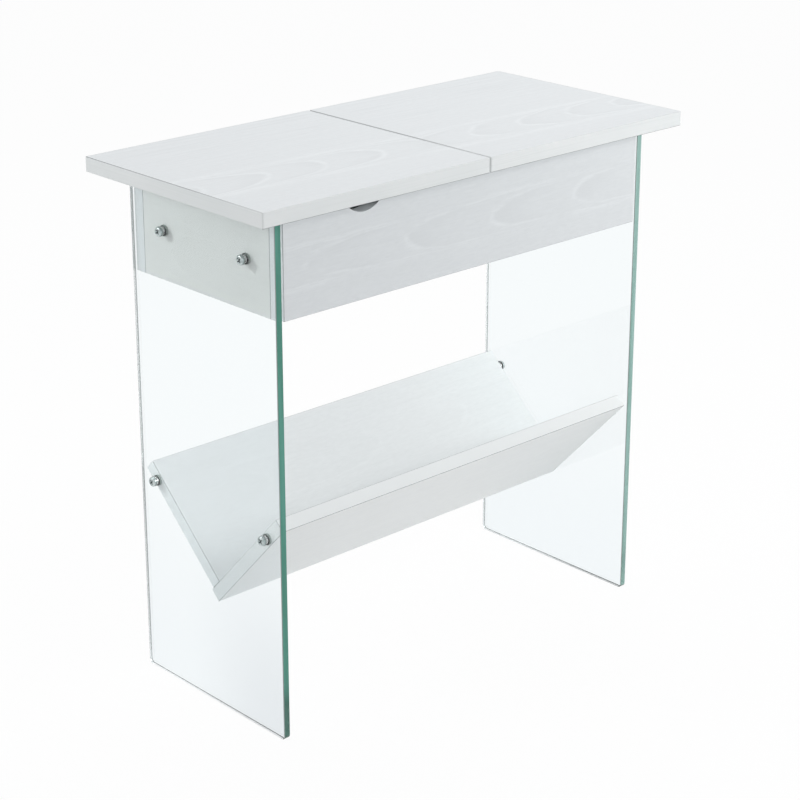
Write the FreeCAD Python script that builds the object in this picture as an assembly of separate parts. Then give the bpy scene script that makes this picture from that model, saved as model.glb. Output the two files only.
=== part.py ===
"""Narrow end table: a shallow box with a half lifting top, hung between two glass sides, and a V shelf.

Millimetres. The origin is on the floor under the middle of the table, +Z is up, X runs along the length
and -Y is the front, where the finger notch is. The lifting half of the top is the half at -X.
"""
import FreeCAD, Part
import math
import os

Vec = FreeCAD.Vector

# ---- overall sizes
TOP_LENGTH = 600.0
TOP_DEPTH = 285.0
HEIGHT = 580.0
TOP_THICK = 16.0
SEAM = 1.2              # open gap between the two halves of the top
END_OVERHANG = 35.0     # end of the top to the outer face of the glass
SIDE_OVERHANG = 26.0    # front edge of the top to the front edge of the glass, and the same behind

# ---- sheet and board
GLASS = 8.0
GLASS_CORNER = 5.0      # corner radius of a glass side
GLASS_ARRIS = 0.7       # ground chamfer along the edges of the glass
GLASS_TOP_GAP = 1.0     # top edge of the glass to the underside of the top
BOARD = 15.0
BOARD_EASE = 0.4        # small chamfer along every board edge
BAND = 1.0              # thickness of the edge band round each half of the top
BAND_EDGE = 0.7         # rounding of the band's long edges
BAND_CORNER = 1.6       # rounding of the band's upright corners

# ---- box
APRON_HEIGHT = 108.0
FLOOR = 3.0             # thin panel in the bottom of the box
FLOOR_RISE = 9.0        # lower edge of the box to the underside of that panel
GROOVE = 5.0            # depth of the groove that holds the panel
NOTCH_WIDTH = 55.0
NOTCH_DEPTH = 17.0

# ---- V shelf
SHELF_TILT = 47.0       # slope of the front board in degrees; the back board stands square to it
SHELF_TOP = 233.5       # height of the outermost corners of the two boards
SHELF_INSET = 2.8       # those corners to the edge of the glass
SHELF_LIP = 4.0         # how far the front board runs on past the back board

# ---- bolts through the glass, and what goes with them
BOLT = 2.5              # shank radius
BOLT_HEAD = 5.3
HEAD_HEIGHT = 3.2
HEAD_ROUND = 1.7        # rounding of the pan head's rim
HEAD_RECESS = 2.3       # depth of its cross recess
BOX_BOLT_IN = 50.5      # edge of the glass to a bolt into the box
FRONT_BOLT_IN = 28.0    # top edge of the shelf's front board to its bolt
BACK_BOLT_IN = 20.0     # the same on its back board
GLASS_HOLE = 4.4
COLLAR = 5.6            # radius of the sleeve's collar under the bolt head
COLLAR_THICK = 0.8
SPACER = 2.0            # thickness of the spacer between glass and board
SPACER_RADIUS = 5.9
INSERT = 4.2
INSERT_LENGTH = 12.0

# ---- knock-down fittings
CAM = 7.5               # cam lock radius
CAM_PAST_AXIS = 4.8     # the cam reaches this far past the middle of its board
CAM_SINK = 0.3          # its face lies this far below the board's face
CAM_BACK = 34.0         # end of the board to the middle of the cam
CAM_RECESS = 1.6        # depth of the cross recess in its face
CAM_BOLT = 3.0
CAM_NECK = 2.0          # radius of the bolt between its head and its thick part
CAM_BOLT_HEAD = 3.4
CAM_HEAD_LENGTH = 2.6
CAM_CLEAR = 0.5         # open space round the bolt's head inside the cam
CAM_THREAD = 10.0       # length of cam bolt in the board that it is screwed into
PEG = 4.0               # wooden dowel radius
PEG_HALF = 11.0         # length of dowel in each board
PEG_CHAMFER = 0.8
JOINT_SPREAD = 26.0     # cam above and dowel below the middle of the box
TOP_CAMS = (0.33, 0.79)         # share of the way from the middle of the box to its right end board
TOP_PEGS = (0.19, 0.94)
SHELF_CAMS = (-0.66, 0.0, 0.66)     # share of the way from the middle of the shelf to its end
SHELF_PEGS = (-0.33, 0.33)

# ---- hinges
HINGE_LENGTH = 50.0
HINGE_PLACES = (0.2, 0.8)       # share of the way along the box under the lid
LEAF = 1.2
LEAF_WIDTH = 18.0
KNUCKLE = 2.9
HINGE_PIN = 1.5
KNUCKLE_GAP = 0.3       # between neighbouring knuckles, and from a knuckle to lid and apron
SCREW = 1.5
SCREW_HEAD = 2.9
SCREW_LENGTH = 11.0
SCREW_APART = 30.0
SCREW_RECESS = 0.8
SCREW_ALONG = 0.62      # share of the leaf's width from the hinge axis to its screws

# ---- cross recess for a driver, as shares of the radius of the head that it is cut in
WING_SPAN = 1.16        # wing tip to wing tip
WING = 0.22             # thickness of a wing
RECESS_MIDDLE = 0.34    # radius of the tapered middle at the face of the head
RECESS_TIP = 0.08       # and at its bottom

# ---- clearances
PLAY = 0.05             # round a pressed or screwed-in piece, and a bolt in its hole
PIN_PLAY = 0.05         # hinge pin in its knuckles
PANEL_PLAY = 0.1        # thin panel in its groove, each side
PANEL_END = 0.3         # thin panel to the bottom of its groove

# ---- levels and planes that follow
TOP_UNDER = HEIGHT - TOP_THICK
BOX_LOW = TOP_UNDER - APRON_HEIGHT
BOX_MIDDLE = (BOX_LOW + TOP_UNDER) / 2
GLASS_OUT = TOP_LENGTH / 2 - END_OVERHANG
GLASS_IN = GLASS_OUT - GLASS
BOX_END = GLASS_IN - SPACER
EDGE = TOP_DEPTH / 2 - SIDE_OVERHANG        # front face of the apron and front edge of the glass
APRON_IN = EDGE - BOARD
END_IN = BOX_END - BOARD
PANEL_LOW = BOX_LOW + FLOOR_RISE
PANEL_TOP = PANEL_LOW + FLOOR
CAM_DEPTH = BOARD / 2 + CAM_PAST_AXIS
AXIS_OFF = KNUCKLE + KNUCKLE_GAP            # hinge axis to the apron's face and to the lid's underside
AXIS_Y = EDGE + AXIS_OFF
AXIS_Z = TOP_UNDER - AXIS_OFF

# ---- the V shelf's own frame: y square to the front board, z up along it, from its lowest outer corner
SHELF_SPAN = 2 * (EDGE - SHELF_INSET)
TILT = math.radians(SHELF_TILT)
FRONT_WIDTH = SHELF_SPAN * math.cos(TILT) + SHELF_LIP
BACK_END = SHELF_SPAN * math.sin(TILT)      # far edge of the back board
SHELF_Y = -SHELF_SPAN / 2 + FRONT_WIDTH * math.cos(TILT)
SHELF_Z = SHELF_TOP - FRONT_WIDTH * math.sin(TILT)
BACK_MIDDLE = SHELF_LIP + BOARD / 2


# ---------------------------------------------------------------- small helpers
def block(x, y, z):
    """A box from three (low, high) pairs."""
    return Part.makeBox(x[1] - x[0], y[1] - y[0], z[1] - z[0], Vec(x[0], y[0], z[0]))


def board(x, y, z):
    """A box with every edge eased."""
    solid = block(x, y, z)
    return solid.makeChamfer(BOARD_EASE, solid.Edges)


def rod(start, end, radius):
    """A cylinder between two points."""
    start, end = Vec(*start), Vec(*end)
    return Part.makeCylinder(radius, (end - start).Length, start, end - start)


def cut(solid, tools):
    """The solid less all the tools."""
    return solid.cut(Part.makeCompound(tools)).Solids[0]


def other_side(shapes):
    """The same pieces at the other end of the table."""
    return [shape.mirror(Vec(0, 0, 0), Vec(1, 0, 0)) for shape in shapes]


def on_shelf(shape):
    """Moves a shape from the V shelf's own frame to its place in the table."""
    shape.Placement = FreeCAD.Placement(
        Vec(0, SHELF_Y, SHELF_Z), FreeCAD.Rotation(Vec(1, 0, 0), 90 - SHELF_TILT)
    )
    return shape


def shelf_point(y, z):
    """The same move for a single point, as (y, z)."""
    return (
        SHELF_Y + y * math.sin(TILT) - z * math.cos(TILT),
        SHELF_Z + y * math.cos(TILT) + z * math.sin(TILT),
    )


def save(name, solids):
    """Writes one node: a single solid, or a group of separate ones."""
    for solid in solids:
        if not solid.isValid() or solid.Volume <= 0:
            raise ValueError(name + " is not a sound solid")
    shape = solids[0] if len(solids) == 1 else Part.makeCompound(solids)
    shape.exportStep("parts/" + name + ".step")


# ---------------------------------------------------------------- places
BOX_BOLTS = [(side * (EDGE - BOX_BOLT_IN), BOX_MIDDLE) for side in (-1, 1)]
SHELF_BOLTS = [
    shelf_point(BOARD / 2, FRONT_WIDTH - FRONT_BOLT_IN),
    shelf_point(BACK_END - BACK_BOLT_IN, BACK_MIDDLE),
]
CAM_Z = BOX_MIDDLE + JOINT_SPREAD
PEG_Z = BOX_MIDDLE - JOINT_SPREAD
END_MIDDLE = BOX_END - BOARD / 2
CROSS_BOARDS = (-END_MIDDLE, 0.0, END_MIDDLE)       # left end board, partition, right end board
HINGES = [-END_IN + share * (END_IN - BOARD / 2) for share in HINGE_PLACES]


# ---------------------------------------------------------------- fittings
def cam_lock(middle, face, way):
    """A cam lock and its bore. face points out of the board, way towards the cam bolt."""
    middle, face, way = Vec(*middle), Vec(*face), Vec(*way)
    surface = middle + face * (BOARD / 2)
    bore = Part.makeCylinder(CAM + PLAY, CAM_DEPTH, surface, -face)
    lock = Part.makeCylinder(CAM, CAM_DEPTH - CAM_SINK, surface - face * CAM_SINK, -face)
    back = CAM_HEAD_LENGTH / 2 + CAM_CLEAR
    pocket = Part.makeCylinder(CAM_BOLT_HEAD + CAM_CLEAR, back + CAM + 1, middle - way * back, way)
    recess = cross_recess(surface - face * CAM_SINK, -face, CAM, CAM_RECESS)
    return cut(lock, [pocket, recess]), bore


def cam_bolt(middle, way):
    """The bolt that a cam lock pulls on, and the holes for it in both boards."""
    middle, way = Vec(*middle), Vec(*way)
    seam = middle + way * CAM_BACK
    head = Part.makeCylinder(
        CAM_BOLT_HEAD, CAM_HEAD_LENGTH, middle - way * (CAM_HEAD_LENGTH / 2), way)
    neck = Part.makeCylinder(CAM_NECK, CAM_BACK, middle, way)
    shank = Part.makeCylinder(CAM_BOLT, CAM_BACK - CAM + CAM_THREAD, middle + way * CAM, way)
    inner = Part.makeCylinder(CAM_BOLT + PLAY, CAM_BACK, middle, way)
    outer = Part.makeCylinder(CAM_BOLT + PLAY, CAM_THREAD, seam, way)
    return shank.fuse([neck, head]).Solids[0], inner, outer


def cross_recess(point, way, radius, depth):
    """Two crossed slots and a tapered middle, cut along way from a point on a head of this radius."""
    span, wing = radius * WING_SPAN, radius * WING
    recess = Part.makeCone(radius * RECESS_MIDDLE, radius * RECESS_TIP, depth)
    for turn in (45, 135):
        slot = Part.makeBox(wing, span, depth, Vec(-wing / 2, -span / 2, 0))
        slot.rotate(Vec(0, 0, 0), Vec(0, 0, 1), turn)
        recess = recess.fuse(slot)
    recess.Placement = FreeCAD.Placement(point, FreeCAD.Rotation(Vec(0, 0, 1), way))
    return recess


def peg(middle, way):
    """A wooden dowel across a joint, and the hole for it."""
    middle, way = Vec(*middle), Vec(*way)
    start = middle - way * PEG_HALF
    pin = Part.makeCylinder(PEG, 2 * PEG_HALF, start, way)
    ends = [edge for edge in pin.Edges if isinstance(edge.Curve, Part.Circle)]
    return pin.makeChamfer(PEG_CHAMFER, ends), Part.makeCylinder(PEG + PLAY, 2 * PEG_HALF, start, way)


def screw(point, way):
    """A countersunk screw with its head's face at point, and its hole."""
    point, way = Vec(*point), Vec(*way)
    sunk = SCREW_HEAD - SCREW
    head = Part.makeCone(SCREW_HEAD, SCREW, sunk, point, way)
    shank = Part.makeCylinder(SCREW, SCREW_LENGTH, point, way)
    whole = head.fuse(shank).removeSplitter().Solids[0]
    wide = Part.makeCone(SCREW_HEAD + PLAY, SCREW + PLAY, sunk, point, way)
    hole = wide.fuse(Part.makeCylinder(SCREW + PLAY, SCREW_LENGTH, point, way))
    return cut(whole, [cross_recess(point, way, SCREW_HEAD, SCREW_RECESS)]), hole


# ---------------------------------------------------------------- what holds the glass, at the left end
def glass_bolt(y, z):
    """A pan-head bolt from outside the glass into the board."""
    under = -GLASS_OUT - COLLAR_THICK
    crown = under - HEAD_HEIGHT
    head = rod((crown, y, z), (under, y, z), BOLT_HEAD)
    rim = [edge for edge in head.Edges if edge.BoundBox.XMax < under - HEAD_HEIGHT / 2]
    head = head.makeFillet(HEAD_ROUND, rim)
    shank = rod((under, y, z), (-BOX_END + INSERT_LENGTH, y, z), BOLT)
    whole = head.fuse(shank).Solids[0]
    return cut(whole, [cross_recess(Vec(crown, y, z), Vec(1, 0, 0), BOLT_HEAD, HEAD_RECESS)])


def glass_sleeve(y, z):
    """A plastic tube in the glass, with a collar under the bolt head."""
    collar = rod((-GLASS_OUT - COLLAR_THICK, y, z), (-GLASS_OUT, y, z), COLLAR)
    tube = rod((-GLASS_OUT, y, z), (-GLASS_IN, y, z), GLASS_HOLE - PLAY)
    bore = rod((-GLASS_OUT - COLLAR_THICK, y, z), (-GLASS_IN, y, z), BOLT + PLAY)
    return cut(collar.fuse(tube).Solids[0], [bore])


def glass_spacer(y, z):
    """A thick washer between the glass and the board."""
    ring = rod((-GLASS_IN, y, z), (-BOX_END, y, z), SPACER_RADIUS)
    return cut(ring, [rod((-GLASS_IN, y, z), (-BOX_END, y, z), BOLT + PLAY)])


def insert(y, z):
    """A threaded insert, level with the end of the board."""
    ends = ((-BOX_END, y, z), (-BOX_END + INSERT_LENGTH, y, z))
    return cut(rod(*ends, INSERT), [rod(*ends, BOLT + PLAY)])


def insert_holes(places):
    """Bores for the inserts, at both ends of the table."""
    left = [
        rod((-BOX_END, y, z), (-BOX_END + INSERT_LENGTH, y, z), INSERT + PLAY) for y, z in places
    ]
    return left + other_side(left)


# ---------------------------------------------------------------- joints of the box
def box_joints():
    """Cam locks, cam bolts, dowels and all their holes where the cross boards meet the aprons."""
    locks, bolts, pegs, holes = [], [], [], []
    for x in CROSS_BOARDS:
        inward = -1 if x > 0 else 1
        for side in (-1, 1):
            middle = (x, side * (APRON_IN - CAM_BACK), CAM_Z)
            lock, bore = cam_lock(middle, (inward, 0, 0), (0, side, 0))
            bolt, inner, outer = cam_bolt(middle, (0, side, 0))
            pin, hole = peg((x, side * APRON_IN, PEG_Z), (0, side, 0))
            locks.append(lock)
            bolts.append(bolt)
            pegs.append(pin)
            holes += [bore, inner, outer, hole]
    return locks, bolts, pegs, holes


def top_joints():
    """The same fittings between the aprons and the fixed half of the top."""
    locks, bolts, pegs, holes = [], [], [], []
    for side in (-1, 1):
        line = side * (EDGE - BOARD / 2)
        for x in [share * END_IN for share in TOP_CAMS]:
            middle = (x, line, TOP_UNDER - CAM_BACK)
            lock, bore = cam_lock(middle, (0, -side, 0), (0, 0, 1))
            bolt, inner, outer = cam_bolt(middle, (0, 0, 1))
            locks.append(lock)
            bolts.append(bolt)
            holes += [bore, inner, outer]
        for x in [share * END_IN for share in TOP_PEGS]:
            pin, hole = peg((x, line, TOP_UNDER), (0, 0, 1))
            pegs.append(pin)
            holes.append(hole)
    return locks, bolts, pegs, holes


def shelf_joints():
    """The same fittings where the back board of the V meets the front one, in the shelf's own frame."""
    locks, bolts, pegs, holes = [], [], [], []
    for x in [share * BOX_END for share in SHELF_CAMS]:
        middle = (x, BOARD + CAM_BACK, BACK_MIDDLE)
        lock, bore = cam_lock(middle, (0, 0, -1), (0, -1, 0))
        bolt, inner, outer = cam_bolt(middle, (0, -1, 0))
        locks.append(lock)
        bolts.append(bolt)
        holes += [bore, inner, outer]
    for x in [share * BOX_END for share in SHELF_PEGS]:
        pin, hole = peg((x, BOARD, BACK_MIDDLE), (0, 1, 0))
        pegs.append(pin)
        holes.append(hole)
    return locks, bolts, pegs, holes


# ---------------------------------------------------------------- hinges
def hinge_screws(x):
    """Screws of one hinge: those in the apron, those in the lid, and all their holes."""
    fixed, moving, holes = [], [], []
    out = LEAF_WIDTH * SCREW_ALONG
    for shift in (-SCREW_APART / 2, SCREW_APART / 2):
        low = screw((x + shift, EDGE + LEAF, AXIS_Z - out), (0, -1, 0))
        high = screw((x + shift, AXIS_Y + out, TOP_UNDER - LEAF), (0, 0, 1))
        fixed.append(low[0])
        moving.append(high[0])
        holes += [low[1], high[1]]
    return fixed, moving, holes


def hinge(x, holes):
    """The two leaves and the pin of one hinge. The middle knuckle belongs to the lid's leaf."""
    third = HINGE_LENGTH / 3
    starts = [x - HINGE_LENGTH / 2 + index * third for index in range(3)]
    half = KNUCKLE_GAP / 2

    def knuckle(index):
        low = starts[index] + (half if index else 0)
        high = starts[index] + third - (half if index < 2 else 0)
        return rod((low, AXIS_Y, AXIS_Z), (high, AXIS_Y, AXIS_Z), KNUCKLE), (low, high)

    knuckles = [knuckle(index) for index in range(3)]
    span = (x - HINGE_LENGTH / 2, x + HINGE_LENGTH / 2)
    middle = (starts[1] - half, starts[2] + half)
    bore = rod((span[0], AXIS_Y, AXIS_Z), (span[1], AXIS_Y, AXIS_Z), HINGE_PIN + PIN_PLAY)

    plate = block(span, (EDGE, EDGE + LEAF), (AXIS_Z - LEAF_WIDTH, AXIS_Z))
    relief = block(middle, (EDGE, EDGE + LEAF), (AXIS_Z - AXIS_OFF, AXIS_Z))
    fixed = plate.cut(relief).fuse([knuckles[0][0], knuckles[2][0]])
    fixed = cut(fixed, [bore] + holes)

    plate = block(span, (AXIS_Y, AXIS_Y + LEAF_WIDTH), (TOP_UNDER - LEAF, TOP_UNDER))
    reliefs = [
        block((span[0], middle[0] + KNUCKLE_GAP), (AXIS_Y, AXIS_Y + AXIS_OFF),
              (TOP_UNDER - LEAF, TOP_UNDER)),
        block((middle[1] - KNUCKLE_GAP, span[1]), (AXIS_Y, AXIS_Y + AXIS_OFF),
              (TOP_UNDER - LEAF, TOP_UNDER)),
    ]
    moving = plate.cut(Part.makeCompound(reliefs)).fuse(knuckles[1][0])
    moving = cut(moving, [bore] + holes)

    pin = rod((span[0], AXIS_Y, AXIS_Z), (span[1], AXIS_Y, AXIS_Z), HINGE_PIN)
    return fixed, moving, pin


# ---------------------------------------------------------------- boards
def top_half(low, high):
    """One half of the top: the board, and the band wrapped round its edges."""
    sides = (-TOP_DEPTH / 2, TOP_DEPTH / 2)
    core = block((low + BAND, high - BAND), (sides[0] + BAND, sides[1] - BAND), (TOP_UNDER, HEIGHT))
    outside = block((low, high), sides, (TOP_UNDER, HEIGHT))
    upright = [edge for edge in outside.Edges if edge.tangentAt(0).z ** 2 > 0.5]
    outside = outside.makeFillet(BAND_CORNER, upright)
    rims = [
        edge for edge in outside.Edges
        if abs(edge.BoundBox.ZMax - edge.BoundBox.ZMin) < 0.001
    ]
    outside = outside.makeFillet(BAND_EDGE, rims)
    return core, cut(outside, [core])


def glass_side():
    """The left glass side, with a hole for each bolt."""
    high = TOP_UNDER - GLASS_TOP_GAP
    sheet = block((-GLASS_OUT, -GLASS_IN), (-EDGE, EDGE), (0, high))
    corners = [edge for edge in sheet.Edges if edge.BoundBox.XLength > GLASS / 2]
    sheet = sheet.makeFillet(GLASS_CORNER, corners)
    faces = [face for face in sheet.Faces if face.normalAt(0, 0).x ** 2 > 0.5]
    rims = [edge for face in faces for edge in face.OuterWire.Edges]
    sheet = sheet.makeChamfer(GLASS_ARRIS, rims)
    holes = [
        rod((-GLASS_OUT, y, z), (-GLASS_IN, y, z), GLASS_HOLE) for y, z in BOX_BOLTS + SHELF_BOLTS
    ]
    return cut(sheet, holes)


def floor_panel():
    """The thin panel in the bottom of the box."""
    long = END_IN + GROOVE - PANEL_END
    deep = APRON_IN + GROOVE - PANEL_END
    return block((-long, long), (-deep, deep), (PANEL_LOW, PANEL_TOP))


def grooves():
    """The grooves that the thin panel slides into, round all four sides."""
    long, deep = END_IN + GROOVE, APRON_IN + GROOVE
    return block((-long, long), (-deep, deep), (PANEL_LOW - PANEL_PLAY, PANEL_TOP + PANEL_PLAY))


def finger_notch():
    """The half-moon cut in the top edge of the front apron, under the middle of the lid."""
    radius = (NOTCH_WIDTH ** 2 / 4 + NOTCH_DEPTH ** 2) / (2 * NOTCH_DEPTH)
    x, z = -TOP_LENGTH / 4, TOP_UNDER + radius - NOTCH_DEPTH
    return rod((x, -EDGE - 1, z), (x, -APRON_IN + 1, z), radius)


def box_boards(holes):
    """Aprons, end boards and partition, with everything cut that goes into them."""
    long, high = (-BOX_END, BOX_END), (BOX_LOW, TOP_UNDER)
    inside = (-APRON_IN, APRON_IN)
    front = board(long, (-EDGE, -APRON_IN), high)
    back = board(long, (APRON_IN, EDGE), high)
    left = board((-BOX_END, -END_IN), inside, high)
    right = board((END_IN, BOX_END), inside, high)
    middle = board((-BOARD / 2, BOARD / 2), inside, (PANEL_TOP, TOP_UNDER))
    slot = grooves()
    return {
        "front_apron": cut(front, holes + [slot, finger_notch()]),
        "back_apron": cut(back, holes + [slot]),
        "end_board_left": cut(left, holes + [slot]),
        "end_board_right": cut(right, holes + [slot]),
        "centre_partition": cut(middle, holes),
    }


def shelf_boards(holes):
    """The two boards of the V, in the shelf's own frame."""
    long = (-BOX_END, BOX_END)
    front = board(long, (0, BOARD), (0, FRONT_WIDTH))
    back = board(long, (BOARD, BACK_END), (SHELF_LIP, SHELF_LIP + BOARD))
    return cut(front, holes), cut(back, holes)


# ---------------------------------------------------------------- the table
def main():
    os.makedirs("parts", exist_ok=True)

    box_locks, box_bolts, box_pegs, box_holes = box_joints()
    top_locks, top_bolts, top_pegs, top_holes = top_joints()
    screws = [hinge_screws(x) for x in HINGES]
    hinge_holes = [hole for group in screws for hole in group[2]]

    boards = box_boards(box_holes + top_holes + hinge_holes + insert_holes(BOX_BOLTS))
    for name, solid in boards.items():
        save(name, [solid])
    save("storage_floor", [floor_panel()])

    lid, lid_band = top_half(-TOP_LENGTH / 2, -SEAM / 2)
    fixed, fixed_band = top_half(SEAM / 2, TOP_LENGTH / 2)
    save("lift_lid_panel", [cut(lid, hinge_holes)])
    save("lift_lid_edge_band", [lid_band])
    save("fixed_top_panel", [cut(fixed, top_holes)])
    save("fixed_top_edge_band", [fixed_band])

    save("box_cam_locks", box_locks)
    save("box_cam_bolts", box_bolts)
    save("box_dowels", box_pegs)
    save("top_cam_locks", top_locks)
    save("top_cam_bolts", top_bolts)
    save("top_dowels", top_pegs)

    for side, x in zip(("left", "right"), HINGES):
        leaf, lid_leaf, pin = hinge(x, hinge_holes)
        save("hinge_apron_leaf_" + side, [leaf])
        save("hinge_lid_leaf_" + side, [lid_leaf])
        save("hinge_pin_" + side, [pin])
    save("hinge_apron_screws", [solid for group in screws for solid in group[0]])
    save("hinge_lid_screws", [solid for group in screws for solid in group[1]])

    shelf_locks, shelf_bolts, shelf_pegs, shelf_holes = shelf_joints()
    front, back = [on_shelf(solid) for solid in shelf_boards(shelf_holes)]
    bores = insert_holes(SHELF_BOLTS)
    save("shelf_front_board", [cut(front, bores)])
    save("shelf_back_board", [cut(back, bores)])
    save("shelf_cam_locks", [on_shelf(solid) for solid in shelf_locks])
    save("shelf_cam_bolts", [on_shelf(solid) for solid in shelf_bolts])
    save("shelf_dowels", [on_shelf(solid) for solid in shelf_pegs])

    everywhere = BOX_BOLTS + SHELF_BOLTS
    left_end = {
        "glass_side": [glass_side()],
        "box_bolts": [glass_bolt(*place) for place in BOX_BOLTS],
        "shelf_bolts": [glass_bolt(*place) for place in SHELF_BOLTS],
        "glass_sleeves": [glass_sleeve(*place) for place in everywhere],
        "glass_spacers": [glass_spacer(*place) for place in everywhere],
        "box_inserts": [insert(*place) for place in BOX_BOLTS],
        "shelf_inserts": [insert(*place) for place in SHELF_BOLTS],
    }
    for name, solids in left_end.items():
        save(name + "_left", solids)
        save(name + "_right", other_side(solids))


main()
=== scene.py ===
# %% [markdown]
# # A lift top end table, dressed and lit
#
# The table is two clear glass sides, a white storage box with a top in two halves, and a V shelf between
# the sides. Every board, sheet, bolt and hinge is already modelled as a solid and comes in as a frame that
# isn't touched. What this lesson adds is the finish of each piece: woodgrain board, glass with green edges,
# plated metal, brass, beech and plastic. It is all made with shader nodes that read Object coordinates, in
# metres.

import bpy
import math
from mathutils import Euler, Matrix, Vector


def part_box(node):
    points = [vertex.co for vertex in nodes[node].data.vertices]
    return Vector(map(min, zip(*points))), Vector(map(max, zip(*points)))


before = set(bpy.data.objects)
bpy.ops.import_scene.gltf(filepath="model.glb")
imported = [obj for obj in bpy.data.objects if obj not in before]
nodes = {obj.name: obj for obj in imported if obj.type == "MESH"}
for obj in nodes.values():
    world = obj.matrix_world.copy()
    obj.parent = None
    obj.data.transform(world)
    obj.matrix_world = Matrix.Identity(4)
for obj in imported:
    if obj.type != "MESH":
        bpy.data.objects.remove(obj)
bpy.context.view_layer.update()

# %% [markdown]
# ## Colours
#
# A colour is written here the way a colour picker shows it, from 0 to 255, because that is how a designer
# names it. Shader sockets want linear light, so one helper turns the first into the second. Its curve is
# the one that screens use: a short straight foot, then a power.


# %% A helper for colours
def linear(red, green, blue, alpha=1.0):
    """A colour picker's 0 to 255 as the linear colour that a socket takes."""
    shares = [value / 255 for value in (red, green, blue)]
    curve = [s / 12.92 if s < 0.04045 else ((s + 0.055) / 1.055) ** 2.4 for s in shares]
    return (*curve, alpha)


print("mid grey is", round(linear(128, 128, 128)[0], 3))

# %% [markdown]
# ## The camera
#
# A product picture of a small table is taken from a little above, with a long lens, so that the far end
# doesn't shrink. A 95 mm lens about two and a half metres away does that. The lens is shifted down by a
# tenth of the frame, as on a view camera, which lets it tilt less and keeps the glass sides nearly upright.

# %% Camera
FOCAL_LENGTH = 94.9     # millimetres
SHIFT_DOWN = 0.10       # of the frame's width
CAMERA_PLACE = (-1.4852, -1.6060, 1.1212)
LOOKING_DOWN = 18.97    # degrees below level
TURNED_RIGHT = 42.88    # degrees from straight at the front of the table

camera_data = bpy.data.cameras.new("camera")
camera_data.lens = FOCAL_LENGTH
camera_data.shift_y = -SHIFT_DOWN
camera = bpy.data.objects.new("camera", camera_data)
camera.location = CAMERA_PLACE
camera.rotation_euler = Euler((math.radians(90 - LOOKING_DOWN), 0, math.radians(-TURNED_RIGHT)))
bpy.context.scene.collection.objects.link(camera)
bpy.context.scene.camera = camera
print("camera is", round(camera.location.length, 2), "m from the foot of the table")

# %% [markdown]
# ## Even light
#
# White furniture on white needs soft light from all round. The world gives it, and where the top, the box
# and the shelf hide it from one another, soft shade follows. A world of one grey would also show as a grey
# background. So a Light Path node tells the rays apart: those from the camera, and those that metal and
# glass send on, meet plain white, and all others meet the weaker light of the world.

# %% World
WORLD_LIGHT = 0.62


def seen_directly(tree):
    """1 for rays from the camera and for those that metal and glass send on, else 0."""
    rays = tree.nodes.new("ShaderNodeLightPath").outputs
    seen = rays["Is Camera Ray"]
    for kind in ("Is Glossy Ray", "Is Transmission Ray"):
        either = tree.nodes.new("ShaderNodeMath")
        either.operation = "MAXIMUM"
        tree.links.new(seen, either.inputs[0])
        tree.links.new(rays[kind], either.inputs[1])
        seen = either.outputs[0]
    return seen


def mixed(tree, share, first, second):
    """Two shaders in one, with this share of the second."""
    mix = tree.nodes.new("ShaderNodeMixShader")
    for source, socket in zip((share, first, second), mix.inputs):
        tree.links.new(source, socket)
    return mix.outputs[0]


world = bpy.data.worlds.new("studio")
bpy.context.scene.world = world
world.use_nodes = True
sky = world.node_tree
sky.nodes.clear()
even = sky.nodes.new("ShaderNodeBackground")
even.inputs["Color"].default_value = linear(250, 252, 255)
even.inputs["Strength"].default_value = WORLD_LIGHT
white = sky.nodes.new("ShaderNodeBackground")
white.inputs["Color"].default_value = (1, 1, 1, 1)
white.inputs["Strength"].default_value = 1.0
studio = mixed(sky, seen_directly(sky), even.outputs[0], white.outputs[0])
sky.links.new(studio, sky.nodes.new("ShaderNodeOutputWorld").inputs[0])
print("world:", WORLD_LIGHT, "of full white")

# %% [markdown]
# ## Lamps
#
# Even light alone makes all faces of a white board alike. Four area lamps turn them into different planes:
# one above, one low at the right that brightens every board towards that side, one behind at the left for
# the ends, and a small key light in front. The key light stands about 28 degrees up, so the overhang of the
# top throws a narrow shadow on the apron. The powers come from rendering each lamp alone and weighing the
# results. A white surface should end up just under full white, so that its grain still shows.


# %% Lamps
def area_lamp(name, place, aim, size, power):
    """A square area lamp at place, turned towards aim. The size is in metres and the power in watts."""
    data = bpy.data.lights.new(name, "AREA")
    data.size = size
    data.energy = power
    lamp = bpy.data.objects.new(name, data)
    lamp.location = place
    lamp.rotation_euler = (Vector(aim) - Vector(place)).to_track_quat("-Z", "Y").to_euler()
    bpy.context.scene.collection.objects.link(lamp)


area_lamp("lamp_above", (0.75, 0.75, 2.05), (0, 0, 0.4), size=1.4, power=9.2)
area_lamp("lamp_right", (1.6, -0.95, 0.45), (0, 0, 0.35), size=0.8, power=2.6)
area_lamp("lamp_left", (-1.5, 0.95, 1.0), (0, 0, 0.45), size=0.45, power=5.4)
area_lamp("lamp_key", (0.9, -1.35, 1.1), (0.1, 0, 0.45), size=0.5, power=7.6)

# %% [markdown] ## The floor  The floor is a disc far wider than the view. A bmesh operator draws it as a
# circle with one face.

# %% Floor
import bmesh

FLOOR_RADIUS = 9.0      # metres

floor_mesh = bmesh.new()
bmesh.ops.create_circle(floor_mesh, cap_ends=True, segments=64, radius=FLOOR_RADIUS)
floor_data = bpy.data.meshes.new("floor")
floor_mesh.to_mesh(floor_data)
floor_mesh.free()
floor = bpy.data.objects.new("floor", floor_data)
bpy.context.scene.collection.objects.link(floor)
print("floor radius", FLOOR_RADIUS, "m")

# %% [markdown]
# ## Paint for the floor
#
# A plain diffuse floor turns grey towards its edge, so most of what the camera sees of it is a flat white,
# and the rest is the real diffuse surface, which keeps the shadow. For the light that the floor throws back
# up at the table, it is diffuse only.

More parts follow.
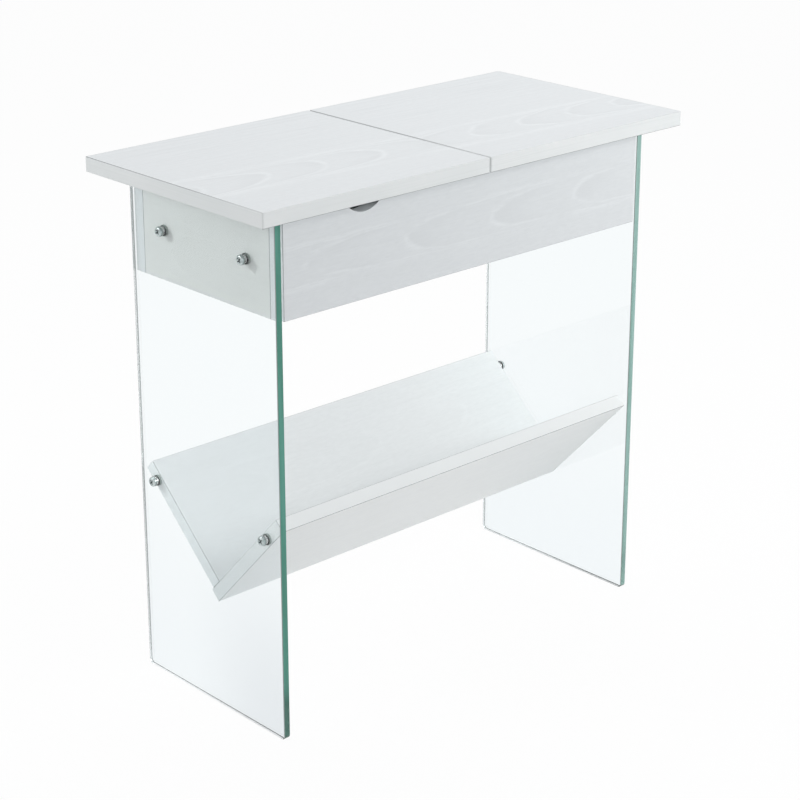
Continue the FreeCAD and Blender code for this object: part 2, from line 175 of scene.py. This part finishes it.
# %% Floor paint
FLOOR_WHITE = 0.95      # share of flat white in what the camera sees of the floor

floor_paint = bpy.data.materials.new("pale floor")
floor_paint.use_nodes = True
tree = floor_paint.node_tree
tree.nodes.clear()
matt = tree.nodes.new("ShaderNodeBsdfDiffuse")
matt.inputs["Color"].default_value = linear(248, 248, 248)
glow = tree.nodes.new("ShaderNodeEmission")
glow.inputs["Strength"].default_value = 1.0
glow_share = tree.nodes.new("ShaderNodeMath")
glow_share.operation = "MULTIPLY"
glow_share.inputs[1].default_value = FLOOR_WHITE
tree.links.new(seen_directly(tree), glow_share.inputs[0])
painted = mixed(tree, glow_share.outputs[0], matt.outputs[0], glow.outputs[0])
tree.links.new(painted, tree.nodes.new("ShaderNodeOutputMaterial").inputs[0])
floor.data.materials.append(floor_paint)
print("floor paint:", len(tree.nodes), "nodes")

# %% [markdown]
# ## A small kit for shader nodes
#
# A material here is a row of nodes that feed one Principled shader. Writing each node out takes four lines,
# so this kit keeps a material's code down to what the finish is made of: add a node, do sums, squeeze a
# value into a range, and blend two colours. Places are in metres from the table's own zero, which is on the
# floor in the middle of the table.


# %% Node kit
class Finish:
    """One material with a Principled shader, and short ways to add nodes to it."""

    def __init__(self, name, roughness=0.5, metallic=0.0):
        self.material = bpy.data.materials.new(name)
        self.material.use_nodes = True
        self.tree = self.material.node_tree
        self.tree.nodes.clear()
        self.shader = self.tree.nodes.new("ShaderNodeBsdfPrincipled")
        self.out = self.tree.nodes.new("ShaderNodeOutputMaterial")
        self.tree.links.new(self.shader.outputs[0], self.out.inputs[0])
        self.shader.inputs["Roughness"].default_value = roughness
        self.shader.inputs["Metallic"].default_value = metallic
        self.place = self.tree.nodes.new("ShaderNodeTexCoord").outputs["Object"]

    def put(self, value, socket):
        """Links an output to a socket, or writes a plain number or colour on it."""
        if isinstance(value, bpy.types.NodeSocket):
            self.tree.links.new(value, socket)
        else:
            socket.default_value = value

    def sums(self, operation, first, second=0.0):
        """One Math node."""
        node = self.tree.nodes.new("ShaderNodeMath")
        node.operation = operation
        self.put(first, node.inputs[0])
        self.put(second, node.inputs[1])
        return node.outputs[0]

    def product(self, first, *others):
        """Several values multiplied together."""
        for other in others:
            first = self.sums("MULTIPLY", first, other)
        return first

    def largest(self, first, *others):
        """The largest of several values."""
        for other in others:
            first = self.sums("MAXIMUM", first, other)
        return first

    def fit(self, value, low, high, to_low=0.0, to_high=1.0, smooth=True):
        """Brings low to high of a value onto to_low to to_high."""
        node = self.tree.nodes.new("ShaderNodeMapRange")
        node.interpolation_type = "SMOOTHSTEP" if smooth else "LINEAR"
        self.put(value, node.inputs["Value"])
        for name, number in zip(("From Min", "From Max", "To Min", "To Max"), (low, high, to_low, to_high)):
            node.inputs[name].default_value = number
        return node.outputs["Result"]

    def colours(self, share, first, second):
        """Two colours in one, with this share of the second."""
        node = self.tree.nodes.new("ShaderNodeMix")
        node.data_type = "RGBA"
        self.put(share, node.inputs["Factor"])
        self.put(first, node.inputs["A"])
        self.put(second, node.inputs["B"])
        return node.outputs["Result"]

    def turned(self, turn=(0, 0, 0), centre=(0, 0, 0)):
        """Object coordinates measured from centre, then turned by these degrees."""
        spin = Euler([math.radians(angle) for angle in turn])
        node = self.tree.nodes.new("ShaderNodeMapping")
        node.inputs["Rotation"].default_value = spin
        node.inputs["Location"].default_value = -(spin.to_matrix() @ Vector(centre))
        self.tree.links.new(self.place, node.inputs["Vector"])
        return node.outputs[0]

    def turned_normal(self, turn=(0, 0, 0)):
        """The surface normal, turned by the same degrees."""
        node = self.tree.nodes.new("ShaderNodeMapping")
        node.vector_type = "VECTOR"
        node.inputs["Rotation"].default_value = [math.radians(angle) for angle in turn]
        source = self.tree.nodes.new("ShaderNodeTexCoord")
        self.tree.links.new(source.outputs["Normal"], node.inputs["Vector"])
        return node.outputs[0]

    def noise(self, place, scale, detail=2.0, roughness=0.5):
        """Soft patches from 0 to 1, about scale of them per metre."""
        node = self.tree.nodes.new("ShaderNodeTexNoise")
        node.inputs["Scale"].default_value = scale
        node.inputs["Detail"].default_value = detail
        node.inputs["Roughness"].default_value = roughness
        self.tree.links.new(place, node.inputs["Vector"])
        return node.outputs["Fac"]

    def fibres(self, place, scales, detail=2.0, roughness=0.5):
        """Noise drawn out into fibres, with scales of its own along X, Y and Z."""
        node = self.tree.nodes.new("ShaderNodeMapping")
        node.inputs["Scale"].default_value = scales
        self.tree.links.new(place, node.inputs["Vector"])
        return self.noise(node.outputs[0], 1.0, detail, roughness)

    def parts(self, vector):
        """The X, Y and Z of a vector."""
        node = self.tree.nodes.new("ShaderNodeSeparateXYZ")
        self.tree.links.new(vector, node.inputs[0])
        return node.outputs

    def bump(self, height, strength, depth):
        """Dents and ridges, this many metres deep at full strength."""
        node = self.tree.nodes.new("ShaderNodeBump")
        node.inputs["Strength"].default_value = strength
        node.inputs["Distance"].default_value = depth
        self.tree.links.new(height, node.inputs["Height"])
        self.tree.links.new(node.outputs[0], self.shader.inputs["Normal"])

    def set(self, **values):
        """Colour, roughness and clearness of the Principled shader, by plain names."""
        names = {"colour": "Base Color", "roughness": "Roughness", "clear": "Transmission Weight"}
        for name, value in values.items():
            self.put(value, self.shader.inputs[names[name]])


print("node kit:", [name for name in vars(Finish) if not name.startswith("_")])

# %% [markdown]
# ## Giving a piece its finish
#
# The pieces come with slots for a material. A slot that is linked to the object takes a finish without any
# change to the mesh, which belongs to the frame.


# %% Dressing a piece
def dress(finish, *names):
    """Gives CAD nodes a finish."""
    for name in names:
        for slot in nodes[name].material_slots:
            slot.link = "OBJECT"
            slot.material = finish.material
    print(finish.material.name, "on", len(names), "nodes")


print("slots to fill:", sum(len(node.material_slots) for node in nodes.values()))

# %% [markdown]
# ## Rings of a flat cut
#
# The boards are particle board under a sheet of melamine that is printed and embossed like plain-sawn
# timber. A flat cut through a trunk shows nested arches: each ring meets the face in a long arch with a
# blunt tip, whose legs soon run side by side along the board. So the rings come from one sum: how far along
# the board a point is, less how far an arch has swept back at that distance from the middle line. Where the
# sum is a whole number of spacings there is a line. An image of wood would be quicker, but it would repeat,
# and it would not follow each board.
#
# The sweep is a square, which rounds the tip, and an eighth power, which turns it into legs. On a steep leg
# a small step sideways is a long way along the board, so the distance to a line is divided by that slope,
# or the legs would smear out.

# %% Rings of a flat cut
ARCH = 0.16             # metres that a line has swept back where its legs run straight
LINE = 0.0058           # metres from the middle of a line at a tip to where it has faded
TIP, LEGS = 0.31, 0.69  # shares of the square and of the eighth power in the sweep
LEGS_SLOPE = 5.5        # of the eighth power, about 8 times its share
THIN_LEGS = 0.35        # width of a line on its legs, as a share of that at its tip


def arches(finish, along, side, rings):
    """Nested arches, from the way along the board and the distance to its middle line, both in metres.

    The three results are that distance as a share of the legs' own, the place from one ring to the next as 0
    to 1, and the lines as 0 to 1.
    """
    first, spacing, width = rings
    lean = finish.sums("DIVIDE", side, width)
    seventh = finish.sums("POWER", lean, 7.0)
    swept = finish.sums("ADD", finish.product(lean, lean, TIP), finish.product(seventh, lean, LEGS))
    run = finish.sums("SUBTRACT", finish.sums("SUBTRACT", along, first), finish.product(swept, ARCH))
    between = finish.sums("FRACT", finish.sums("DIVIDE", run, spacing))

    slope = finish.sums("ADD", finish.product(lean, 2 * TIP), finish.product(seventh, LEGS_SLOPE))
    steep = finish.product(slope, ARCH / width)
    grade = finish.sums("SQRT", finish.sums("ADD", finish.product(steep, steep), 1.0))
    behind = finish.product(between, spacing)
    ahead = finish.product(finish.sums("SUBTRACT", 1.0, between), spacing)
    nearest = finish.sums("DIVIDE", finish.sums("MINIMUM", behind, ahead), grade)
    thinned = finish.sums("DIVIDE", nearest, finish.fit(lean, 0.3, 0.95, 1.0, THIN_LEGS))
    return lean, between, finish.fit(thinned, 0.0, LINE, 1.0, 0.0)


print("an arch sweeps back", round(1000 * ARCH), "mm")

# %% [markdown]
# ## Marks of the print
#
# Perfect arches would look drawn. In timber they wander, and in the print some of them fade out. Noise does
# both. Just inside each line the timber is a little darker, fine streaks run along the length, and short
# pores are pressed in. A board's own length is X here and its width is Y, so a noise is drawn out into
# fibres by a scale that is small along X and large across it.

# %% Marks of the print
SWAY = 0.045            # metres between the least and the greatest shift of an arch along the board
SHAKE = 0.009           # metres between the least and the greatest shift across it
WANDER = (6.0, 16.0, 16.0)      # noise behind the sway: its scales along X, Y and Z
RIPPLE = (14.0, 50.0, 50.0)     # noise behind the shake
PATCHES = (9.0, 60.0, 60.0)     # noise that lets arches fade out
SPECKS = (110.0, 330.0, 330.0)
STREAKS = (7.0, 420.0, 420.0)
PORES = (70.0, 1500.0, 1500.0)
STREAKY = (0.04, 0.18)  # metres from the middle line where streaks start to grow and are strongest


def wobble(finish, place, scales, detail, size):
    """A shift in metres, as often one way as the other."""
    return finish.product(finish.sums("SUBTRACT", finish.fibres(place, scales, detail), 0.5), size)


def print_marks(finish, place, rings, figure, broken):
    """Where each kind of mark shows, as 0 to 1."""
    along, across, _ = finish.parts(place)
    sway = wobble(finish, place, WANDER, 2.0, SWAY)
    shake = wobble(finish, place, RIPPLE, 3.0, SHAKE)
    side = finish.sums("ABSOLUTE", finish.sums("ADD", across, shake))
    swayed = finish.sums("ADD", finish.sums("ABSOLUTE", along), sway)
    lean, between, line = arches(finish, swayed, side, rings)

    patch = finish.fibres(place, PATCHES, 2.0)
    speck = finish.fibres(place, SPECKS, 3.0)
    streak = finish.fibres(place, STREAKS, 3.0, 0.6)
    pore = finish.fibres(place, PORES, 1.0)
    within_legs = finish.fit(lean, 1.0, 1.3, figure, 0.0)
    shown = finish.product(within_legs, finish.fit(patch, 0.36, 0.56, broken, 1.0))
    return {
        "speck": speck,
        "streak": streak,
        "ring shade": finish.product(finish.fit(between, 0.02, 0.6, 1.0, 0.0), shown),
        "ring line": finish.product(line, shown, finish.fit(speck, 0.3, 0.6, 0.5, 1.0)),
        "streaks": finish.product(
            finish.fit(streak, 0.42, 0.70, 0.0, 0.4), finish.fit(side, *STREAKY, 0.5, 2.0)),
        "pores": finish.fit(pore, 0.62, 0.74),
    }


print("arches wander by", round(1000 * SWAY), "mm along the board and", round(1000 * SHAKE), "mm across")

# %% [markdown]
# ## White woodgrain board
#
# The print is white on white, so each mark is only a few steps lighter or darker than the face. The marks
# are laid over one another, from the broadest to the finest.
#
# The eased edges of a board get a darker tone of their own. There the melamine is cut through, so every
# joint between two boards shows as a thin grey line. The turned surface normal finds them: on a flat face
# one of its three parts is nearly 1, and on an eased edge none is. It also finds the long narrow edges,
# which get painted light: a slightly lighter white, as if more light fell on them.

# %% Woodgrain board
MOTTLE = 1.2            # steps of 0 to 255 by which the specks are lighter and darker than the face
RING_SHADE = -7         # and the same of each kind of mark
RING_LINE = 8
STREAK = -7
PORE = -14
# Painted light: the long narrow edges are made lighter than the face.
NARROW_EDGE_PAINTED_LIGHT = 9
FACING = (0.9, 0.98)    # part of the normal along the width, where a narrow edge sets in and is full
EASED = (0.93, 0.78)    # largest part of the normal, where an eased edge sets in and is full
PRESSED = 0.0002        # metres that a pore is pressed in


def woodgrain(name, turn, centre, rings, figure, broken, tone, eased):
    """A board whose length is turned onto X and its width onto Y.

    rings gives the distance from the centre to the first tip, from one tip to the next, and from the middle
    line to the legs. figure says how clearly the arches show, and broken how much of that is left where they
    fade. tone is the colour of the face, which also holds each group's painted light and shade, and eased
    that of the rounded edges, in steps of 0 to 255.
    """
    finish = Finish(name, roughness=0.42)
    marks = print_marks(finish, finish.turned(turn, centre), rings, figure, broken)
    facing = [finish.sums("ABSOLUTE", part) for part in finish.parts(finish.turned_normal(turn))]

    def shade(step):
        return linear(*[value + step for value in tone])

    colour = finish.colours(finish.fit(marks["speck"], 0.35, 0.65), shade(-MOTTLE), shade(MOTTLE))
    for mark, step in (
        (finish.product(marks["ring shade"], 0.7), RING_SHADE),
        (marks["ring line"], RING_LINE),
        (marks["streaks"], STREAK),
        (finish.product(marks["pores"], 0.3), PORE),
        # painted light on the long narrow edges
        (finish.fit(facing[1], *FACING), NARROW_EDGE_PAINTED_LIGHT),
    ):
        colour = finish.colours(mark, colour, shade(step))
    on_eased = finish.fit(finish.largest(*facing), *EASED)
    finish.set(
        colour=finish.colours(on_eased, colour, linear(*eased)),
        roughness=finish.fit(marks["streak"], 0.2, 0.8, 0.38, 0.48),
    )
    pressed = finish.sums("SUBTRACT", finish.product(marks["ring line"], 0.4), marks["pores"])
    finish.bump(pressed, 0.08, PRESSED)
    return finish


print("steps from the face:", RING_SHADE, RING_LINE, STREAK, PORE, NARROW_EDGE_PAINTED_LIGHT)

# %% [markdown]
# ## The boards
#
# Every group of boards has its own centre and turn. The two halves of the top share one, because they are
# cut from one board: the grain runs on across the seam. The apron, the ends and the two slopes of the shelf
# each lie another way. Each group also has its own tone, which is painted light and shade on one white
# melamine: the apron and the ends are darker, and the slopes of the shelf under the box are lighter.

# %% The boards
BOX_EASED = (130, 134, 135)
SHELF_EASED = (156, 160, 160)
SHELF_RINGS = (0.10, 0.15, 0.026)

# Painted light and shade: each group's tone is lighter or darker to suit the light it gets.
top_board = woodgrain(
    "woodgrain top", turn=(0, 0, 3.4), centre=(-0.005, -0.053, 0.58), rings=(0.059, 0.074, 0.033),
    figure=1.0, broken=0.4, tone=(228, 231, 232), eased=BOX_EASED)
apron_board = woodgrain(
    "woodgrain apron", turn=(-90, 0, 0), centre=(-0.354, 0, 0.507), rings=(0.128, 0.128, 0.0205),
    figure=0.8, broken=0.0, tone=(219, 222, 223), eased=BOX_EASED)
end_board = woodgrain(
    "woodgrain end board", turn=(-90, -90, 0), centre=(0, 0.20, 0.49), rings=(0.05, 0.09, 0.028),
    figure=0.25, broken=0.0, tone=(220, 221, 218), eased=BOX_EASED)
back_slope = woodgrain(
    "woodgrain back slope", turn=(-43, 0, 0), centre=(0.42, 0.06, 0.20), rings=SHELF_RINGS,
    figure=0.25, broken=0.0, tone=(239, 241, 241), eased=SHELF_EASED)
front_slope = woodgrain(
    "woodgrain front slope", turn=(47 - 180, 0, 0), centre=(-0.40, -0.06, 0.18), rings=SHELF_RINGS,
    figure=0.25, broken=0.0, tone=(235, 237, 236), eased=SHELF_EASED)
dress(top_board, "fixed_top_panel", "lift_lid_panel")
dress(apron_board, "front_apron", "back_apron", "storage_floor")
dress(end_board, "end_board_left", "end_board_right", "centre_partition")
dress(back_slope, "shelf_back_board")
dress(front_slope, "shelf_front_board")

# %% [markdown]
# ## Edge band
#
# The edges of the two top halves are closed with a plastic band, one millimetre thick, printed with
# straight grain only. A real band is glued on and then trimmed with a small radius, and on the two ends of
# the top that cut shows as a thin darker line, fainter towards the front. The lower rim gets painted shade,
# a dark line along the front and the back where the shadow under the band falls, and little on the ends.
# The surface normal tells the rounded rims from the wide faces.

# %% Edge band
LINE_AT_FRONT = 0.45           # share of the upper line that is left at the front
UNDER_SHADE_ON_ENDS = 0.15           # share of the lower line that is left on the ends

band = Finish("edge band", roughness=0.38)
band_place = band.turned()
band_grain = band.fibres(band_place, (6.0, 6.0, 700.0), 2.0)
_, towards_y, upwards = band.parts(band.turned_normal())
upper_rim = band.fit(upwards, 0.35, 0.75)
lower_rim = band.fit(upwards, -0.1, -0.45)
at_end = band.fit(band.sums("ABSOLUTE", towards_y), 0.25, 0.05)
fading_forward = band.fit(band.parts(band_place)[1], -0.14, 0.0, LINE_AT_FRONT, 1.0)

plain_band = band.colours(
    band.fit(band.noise(band_place, 9.0, 2.0), 0.35, 0.65), linear(227, 230, 229), linear(231, 233, 232))
grained = band.colours(band.fit(band_grain, 0.45, 0.7, 0.0, 0.4), plain_band, linear(219, 223, 221))
upper_cut = band.colours(band.product(upper_rim, at_end, fading_forward), grained, linear(146, 150, 151))
# Painted shade: the downward rim is darkened along the front and the back, and only a little on the ends.
painted_shade_under_band = band.product(lower_rim, band.fit(at_end, 0.0, 1.0, 1.0, UNDER_SHADE_ON_ENDS))
band.set(colour=band.colours(painted_shade_under_band, upper_cut, linear(88, 92, 93)))
band.bump(band_grain, 0.06, 0.0001)
dress(band, "fixed_top_edge_band", "lift_lid_edge_band")

# %% [markdown]
# ## Glass with green edges
#
# Float glass holds a little iron. Seen through its 8 mm it is all but clear, but along the sheet the light
# has crossed a great deal of it, so the edges look sea green. Absorption could be left to a volume, but
# light bounces dozens of times along the sheet before it gets out, which is slow and goes dark. Here the
# normal tells face, ground corner and edge apart, and the edge gets its colour and most of its body
# directly.
#
# Someone who looks through the wide face of a real sheet doesn't see its far edge as green: that edge works
# as a mirror from within. So the green is only on the outside of an edge, and inside it stays clear glass,
# a little frosted by the grinding. The ground corners scatter light both ways and show as fine grey lines.
# Along the bottom of a sheet, where it stands on the floor, painted shade lays a dark line, darker towards
# the front.

# %% Where the glass is face, edge or corner
IOR = 1.52              # how strongly float glass bends light
FACE_MIRROR = 0.35      # how strongly the faces mirror the room, where 0.5 is plain glass
FLOOR_SHADE = (0.004, 0.001)     # metres above the floor where the dark line sets in and is full
BACK_TO_FRONT = (0.11, -0.09)   # metres along Y

glass = Finish("clear glass", roughness=0.0)
glass.shader.inputs["IOR"].default_value = IOR
glass.shader.inputs["Specular IOR Level"].default_value = FACE_MIRROR
flatness = glass.sums("ABSOLUTE", glass.parts(glass.turned_normal())[0])
inside = glass.tree.nodes.new("ShaderNodeNewGeometry").outputs["Backfacing"]
outside = glass.sums("SUBTRACT", 1.0, inside)
across_edge = glass.fit(flatness, 0.45, 0.25)
edge = glass.product(across_edge, outside)
frosted = glass.product(across_edge, inside)
corner = glass.product(glass.fit(flatness, 0.35, 0.6), glass.fit(flatness, 0.95, 0.8))

glass_place = glass.turned()
glass_x, glass_y, height = glass.parts(glass_place)
# Painted shade: a dark line where the sheet stands on the floor.
floor_shade = glass.fit(height, *FLOOR_SHADE)
towards_front = glass.fit(glass_y, *BACK_TO_FRONT)
foot = glass.product(across_edge, floor_shade, glass.fit(towards_front, 0.0, 1.0, 0.3, 0.8))
body = glass.largest(edge, corner, foot)
low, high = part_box("glass_side_left")
print("glass", round(1000 * (high.x - low.x), 1), "mm thick and", round(1000 * (high.y - low.y)), "mm wide")

# %% [markdown]
# ## Colours of the glass
#
# The edge of the left sheet is painted a deep green as if in shade, and that of the right one a pale green
# as painted light from behind it. Both get painted shade in the last centimetres above the floor, and most
# of all at the floor itself. The grinding leaves fine upright marks in the green. The faces have hardly any
# colour. A painted reflection makes them a trace greyer low down, and more so in the front half of the left
# sheet.

# %% Colours of the glass
EDGE_CLEAR = 0.25       # share of the light that still passes through an edge
EDGE_ROUGH = 0.22
INSIDE_ROUGH = 0.4      # of the ground edge as seen from within the sheet
LEFT_TO_RIGHT = (-0.25, 0.25)   # metres along X, between the two sheets
LOW_SHADE = (0.07, 0.03)     # metres above the floor where an edge starts to darken and is darkest

ground_marks = glass.fit(glass.fibres(glass_place, (160.0, 160.0, 7.0), 2.0), 0.3, 0.7)
# Painted light: the left edge is a darker green as if in shade, the right one paler as if lit from behind.
deep = glass.colours(ground_marks, linear(76, 152, 132), linear(94, 170, 152))
pale = glass.colours(ground_marks, linear(148, 192, 180), linear(170, 210, 202))
green = glass.colours(glass.fit(glass_x, *LEFT_TO_RIGHT), deep, pale)
# Painted shade: edges darken low down, most on the left sheet.
painted_low_shade = glass.product(
    glass.fit(height, *LOW_SHADE), glass.fit(glass_x, *LEFT_TO_RIGHT, 0.95, 0.3))
green = glass.colours(painted_low_shade, green, linear(50, 96, 82))
# painted shade where the edge meets the floor
green = glass.colours(floor_shade, green, linear(20, 34, 31))

# Painted reflection: the faces are a trace greyer low down, and more so in the front half of the left sheet.
face = glass.colours(glass.fit(height, 0.30, 0.0), linear(248, 252, 253), linear(243, 248, 250))
painted_reflection_left_front = glass.product(
    glass.fit(glass_y, 0.06, -0.10), glass.fit(glass_x, 0.1, -0.1), glass.fit(height, 0.25, 0.0))
face = glass.colours(painted_reflection_left_front, face, linear(229, 234, 237))
# Painted shade along the floor: grey at the back and nearly black at the front.
floor_shade_colour = glass.colours(towards_front, linear(110, 118, 117), linear(16, 22, 21))
ground_corner = glass.colours(floor_shade, linear(168, 180, 177), floor_shade_colour)
rim = glass.colours(glass.largest(corner, floor_shade), green, ground_corner)
glass.set(
    colour=glass.colours(body, face, rim),
    clear=glass.fit(body, 0.0, 1.0, 1.0, EDGE_CLEAR, smooth=False),
    roughness=glass.sums("ADD", glass.product(body, EDGE_ROUGH), glass.product(frosted, INSIDE_ROUGH)),
)
print("glass shader:", len(glass.tree.nodes), "nodes")

# %% [markdown]
# ## Light through the glass
#
# A path tracer sends a ray from each board towards each lamp. Refracting glass would stop it, and the
# boards behind a sheet would go dark. So rays on their way to a lamp meet a nearly clear Transparent shader
# instead of the glass and pass straight through. All other rays meet the glass as before.

# %% Light through the glass
open_way = glass.tree.nodes.new("ShaderNodeBsdfTransparent")
open_way.inputs["Color"].default_value = linear(250, 253, 253)
lamp_ray = glass.tree.nodes.new("ShaderNodeLightPath").outputs["Is Shadow Ray"]
passing = mixed(glass.tree, lamp_ray, glass.shader.outputs[0], open_way.outputs[0])
glass.tree.links.new(passing, glass.out.inputs[0])
dress(glass, "glass_side_left", "glass_side_right")

# %% [markdown]
# ## Plated metals
#
# The bolt heads are pressed and then chrome plated. Polished plate isn't perfect: handling leaves it a
# little duller in patches, and turning leaves fine rings. Both go into the roughness, where a metal shows
# them. What light falls into a cross recess hardly gets out again, and that shade is painted into the
# colour: ambient occlusion over a millimetre finds such places, and they get a darker metal.

# %% Plated metals
RECESS_DEPTH = 0.0012   # metres over which a recess counts as shut in
# Painted shade for the metal in recesses.
SHADE_IN_RECESS = linear(38, 42, 44)
HANDLED = 260.0         # scale of the duller patches
TURNED = (300.0, 2600.0, 2600.0)        # scales of the fine lines along X, Y and Z


def plated(name, bright, dull, roughness, brushed):
    """A metal with duller patches, fine lines and painted shade in recesses; brushed says how far the lines
    show.
    """
    finish = Finish(name, roughness=roughness, metallic=1.0)
    place = finish.turned()
    patch = finish.noise(place, HANDLED, 3.0)
    lines = finish.fibres(place, TURNED, 2.0)
    open_air = finish.tree.nodes.new("ShaderNodeAmbientOcclusion")
    open_air.samples = 8
    open_air.only_local = True
    open_air.inputs["Distance"].default_value = RECESS_DEPTH
    plain = finish.colours(finish.fit(patch, 0.3, 0.7), linear(*dull), linear(*bright))
    patchy = finish.fit(patch, 0.3, 0.7, roughness * 0.7, roughness * 1.3)
    finish.set(
        # painted shade where ambient occlusion finds a recess
        colour=finish.colours(finish.fit(open_air.outputs["AO"], 0.35, 0.8), SHADE_IN_RECESS, plain),
        roughness=finish.sums("ADD", patchy, finish.product(lines, brushed)),
    )
    finish.bump(lines, 0.1 + brushed, 0.0001)
    return finish


print("recesses go dark over", 1000 * RECESS_DEPTH, "mm")

# %% [markdown]
# ## Bolts, spacers, inserts, cams and hinges
#
# The bolts are the smoothest. The spacers that keep the glass off the boards are tumbled to a satin before
# plating: a mirror finish there would show the inside of the glass and look black. The cam locks are cast
# in zinc, and their bolts and the hinges are steel with a plain zinc plate. The threaded inserts are turned
# from brass. All of them are the same metal code with other colours and another roughness.

# %% Metal pieces
chrome = plated("chrome plate", (196, 205, 205), (160, 172, 172), 0.16, 0.05)
satin = plated("satin plate", (182, 194, 190), (156, 168, 164), 0.6, 0.15)
zinc_steel = plated("zinc plated steel", (196, 198, 198), (168, 170, 170), 0.30, 0.15)
zinc_cast = plated("cast zinc", (176, 177, 176), (148, 149, 149), 0.42, 0.10)
brass = plated("turned brass", (206, 176, 112), (178, 146, 84), 0.26, 0.12)
dress(chrome, "box_bolts_left", "box_bolts_right", "shelf_bolts_left", "shelf_bolts_right")
dress(satin, "glass_spacers_left", "glass_spacers_right")
dress(brass, "box_inserts_left", "box_inserts_right", "shelf_inserts_left", "shelf_inserts_right")
dress(zinc_cast, "box_cam_locks", "top_cam_locks", "shelf_cam_locks")
dress(zinc_steel, "box_cam_bolts", "top_cam_bolts", "shelf_cam_bolts")
for hand in ("left", "right"):
    dress(zinc_steel, "hinge_apron_leaf_" + hand, "hinge_lid_leaf_" + hand, "hinge_pin_" + hand)
dress(zinc_steel, "hinge_apron_screws", "hinge_lid_screws")

# %% [markdown]
# ## Nylon sleeves and beech dowels
#
# The sleeves are natural nylon, milky and a little translucent. The dowels are beech, with short dark
# flecks along the grain. Both are small and mostly hidden, so each gets just the one trait that makes it
# readable.

# %% Nylon and beech
nylon = Finish("milky nylon", roughness=0.4)
haze = nylon.noise(nylon.turned(), 180.0, 2.0)
nylon.set(
    colour=nylon.colours(nylon.fit(haze, 0.3, 0.7), linear(214, 219, 216), linear(226, 230, 227)),
    clear=0.35,
)
dress(nylon, "glass_sleeves_left", "glass_sleeves_right")

beech = Finish("bare beech", roughness=0.6)
fleck = beech.fibres(beech.turned(), (900.0, 120.0, 900.0), 2.0)
tint = beech.noise(beech.turned(), 60.0, 2.0)
plain_beech = beech.colours(beech.fit(tint, 0.3, 0.7), linear(205, 172, 130), linear(217, 187, 147))
flecked = beech.product(beech.fit(fleck, 0.6, 0.75), 0.7)
beech.set(colour=beech.colours(flecked, plain_beech, linear(168, 128, 88)))
beech.bump(fleck, 0.2, 0.0002)
dress(beech, "box_dowels", "top_dowels", "shelf_dowels")

# %% [markdown]
# ## The view transform
#
# Colours are shown as they are, with the Standard view transform.

# %% View transform
bpy.context.scene.view_settings.view_transform = "Standard"
